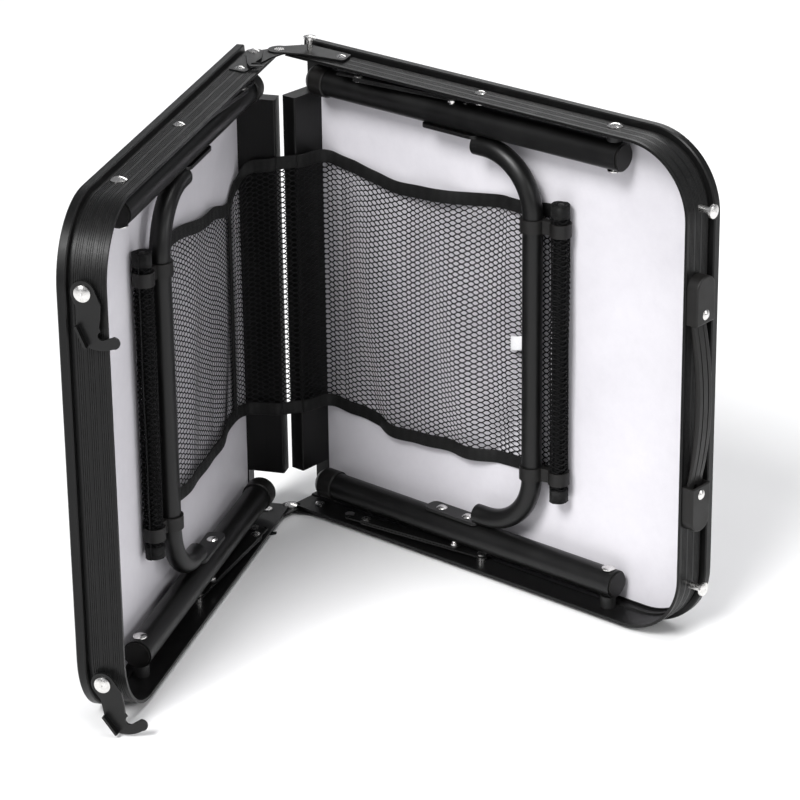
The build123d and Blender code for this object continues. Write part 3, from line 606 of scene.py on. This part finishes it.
def rolled_net(side):
    """The wound end of the net, with its two hems and its rod."""
    length = 2 * math.pi * ROLL_TURNS * (ROLL_CORE + ROLL_R) / 2
    height = ROLL_HIGH - ROLL_LOW

    def place(x, y):
        return roll_place(side, x / length, ROLL_LOW + y)

    net = yarn(f"{side}_net_roll_mesh", hexagon_net(length, height, place))
    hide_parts(f"{side}_net_roll")
    trims = []
    for level, low in (("lower", ROLL_LOW), ("upper", ROLL_HIGH - ROLL_HEM_W)):
        trims.append(roll_hem(side, level, low))
    core = roll_core(side)
    return net, trims, core, (length, height)


def roll_hem(side, level, low):
    """Binding tape along the net's edge, wound with it."""
    mesh = bmesh.new()
    rings = []
    steps = 150
    middle = at(side, ROLL_U, ROLL_V, 0)
    for step in range(steps + 1):
        ring = []
        for z in (low, low + ROLL_HEM_W):
            centre = roll_place(side, step / steps, z)
            away = (centre - middle - UP * z).normalized()
            for lift in (-ROLL_HEM_T / 2, ROLL_HEM_T / 2):
                ring.append(mesh.verts.new(centre + away * lift))
        rings.append([ring[0], ring[1], ring[3], ring[2]])
    return make(f"{side}_net_roll_hem_{level}", skin(mesh, rings), "tape")


def roll_core(side):
    """The rod that the net is wound on, a little longer than the roll, with rounded ends."""
    low, high = ROLL_LOW - 0.002, ROLL_HIGH + 0.001
    stations = [(low + rise, radius) for rise, radius in CORE_ENDS]
    stations += [(high - rise, radius) for rise, radius in reversed(CORE_ENDS)]
    angles = [2 * math.pi * k / CORE_SIDES for k in range(CORE_SIDES)]
    mesh = bmesh.new()
    rings = []
    for z, radius in stations:
        places = [at(side, ROLL_U + radius * math.cos(a), ROLL_V + radius * math.sin(a), z) for a in angles]
        rings.append([mesh.verts.new(place) for place in places])
    return make(f"{side}_net_roll_core", skin(mesh, rings), "moulded")


for side_name in SIDES:
    net_piece, net_trims = net_for(side_name)
    for soft in [net_piece] + net_trims:
        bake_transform(soft)
    roll_piece, roll_trims, core_piece, roll_flat = rolled_net(side_name)
    for soft in [roll_piece, core_piece] + roll_trims:
        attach(soft, f"{side_name}_legs")

bridge_piece, bridge_trims, bridge_length = net_bridge()
for soft in [bridge_piece] + bridge_trims:
    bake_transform(soft)


# ---- studio ----

def area_light(name, place, target, size, power):
    """A soft rectangular light, aimed at the target."""
    data = bpy.data.lights.new(name, "AREA")
    data.shape = "RECTANGLE"
    data.size, data.size_y = size
    data.energy = power
    light = bpy.data.objects.new(name, data)
    light.location = place
    light.rotation_euler = (Vector(target) - Vector(place)).to_track_quat("-Z", "Y").to_euler()
    bpy.context.scene.collection.objects.link(light)


def floor():
    """A wide sheet of pale paper."""
    mesh = bmesh.new()
    bmesh.ops.create_grid(mesh, x_segments=2, y_segments=2, size=12.0)
    data = bpy.data.meshes.new("floor")
    mesh.to_mesh(data)
    mesh.free()
    shader = Shader("floor_paper", Roughness=0.7)
    tone = shader.noise(3.0, 4.0, 0.5)
    shader.set("Base Color", shader.ramp(tone, [(0.3, (0.90, 0.90, 0.90)), (0.7, (0.93, 0.93, 0.93))]))
    data.materials.append(shader.material)
    piece = bpy.data.objects.new("floor", data)
    bpy.context.scene.collection.objects.link(piece)


def camera():
    """The photograph's angle: a long lens, from the left and above."""
    azimuth, elevation, roll = math.radians(-16.54), math.radians(23.10), math.radians(-0.7)
    distance, lens_mm, film_mm = 3.111, 150.5, 36.0
    target = FOLD + Vector((0.1070, 0, 0.0975))
    back = Vector((math.sin(azimuth) * math.cos(elevation), -math.cos(azimuth) * math.cos(elevation),
                   math.sin(elevation)))
    data = bpy.data.cameras.new("camera")
    data.sensor_width = film_mm
    data.lens = lens_mm
    piece = bpy.data.objects.new("camera", data)
    turn = (-back).to_track_quat("-Z", "Y").to_matrix() @ Matrix.Rotation(roll, 3, "Z")
    piece.matrix_world = Matrix.Translation(target + back * distance) @ turn.to_4x4()
    bpy.context.scene.collection.objects.link(piece)
    bpy.context.scene.camera = piece


def sun(direction, strength, spread):
    """Soft daylight that lights the floor evenly."""
    data = bpy.data.lights.new("sun", "SUN")
    data.energy = strength
    data.angle = math.radians(spread)
    light = bpy.data.objects.new("sun", data)
    light.rotation_euler = (-Vector(direction)).to_track_quat("-Z", "Y").to_euler()
    bpy.context.scene.collection.objects.link(light)


world = bpy.data.worlds.new("studio")
world.use_nodes = True
background = world.node_tree.nodes["Background"].inputs
background["Color"].default_value = (0.95, 0.96, 1.0, 1)
background["Strength"].default_value = 0.26
bpy.context.scene.world = world
bpy.context.scene.view_settings.view_transform = "Standard"
floor()
camera()
sun((-0.72, -0.62, 0.95), 2.9, 22)
area_light("strip_left", (-1.7, -1.1, 1.5), (0, 0, 0.25), (0.30, 1.6), 12)
area_light("strip_top", (0.3, -0.5, 2.1), (0, 0, 0.25), (1.6, 0.35), 14)
area_light("front", (0.6, -2.4, 1.3), (0, 0, 0.2), (0.9, 0.5), 9)
area_light("rim", (0.9, 1.6, 1.5), (0, 0, 0.3), (1.2, 0.4), 9)
area_light("fill_right", (1.7, -1.3, 1.0), (-0.1, 0, 0.2), (0.7, 0.7), 10)
